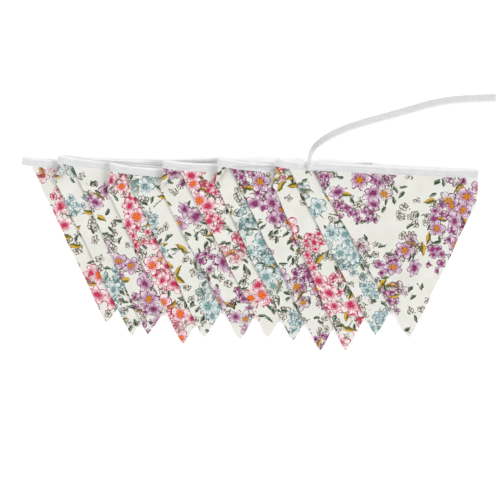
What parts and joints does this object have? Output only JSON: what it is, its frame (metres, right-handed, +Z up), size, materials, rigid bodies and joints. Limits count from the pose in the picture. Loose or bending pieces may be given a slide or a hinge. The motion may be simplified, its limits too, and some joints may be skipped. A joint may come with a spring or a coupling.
{
  "type": "fabric bunting",
  "caption": "String of printed triangular cotton flags on a white binding tape, folded back and forth into a fan and laid flat, with one loose tie.",
  "frame": {"origin": "middle of the bounding box's underside, on the surface the bunting lies on", "axes": "+X to the right along the tape, +Y from the flag tips towards the tape, +Z up from the surface"},
  "size_m": [0.5422, 0.293, 0.0258],
  "materials": {
    "white_tape": "white cotton binding tape, folded lengthwise and stitched",
    "cotton_pink": "ivory cotton with small flowers, mostly pink",
    "cotton_blue": "ivory cotton with small flowers, mostly pale blue",
    "cotton_purple": "ivory cotton with small flowers, mostly purple"
  },
  "bodies": {
    "root": {"binding_tape": "white_tape", "flag_01": "cotton_pink", "flag_02": "cotton_blue", "flag_03": "cotton_purple", "flag_04": "cotton_pink", "flag_05": "cotton_blue", "flag_06": "cotton_purple", "flag_07": "cotton_pink", "flag_08": "cotton_blue", "flag_09": "cotton_purple", "flag_10": "cotton_pink", "flag_11": "cotton_blue", "flag_12": "cotton_purple"}
  },
  "joints": []
}
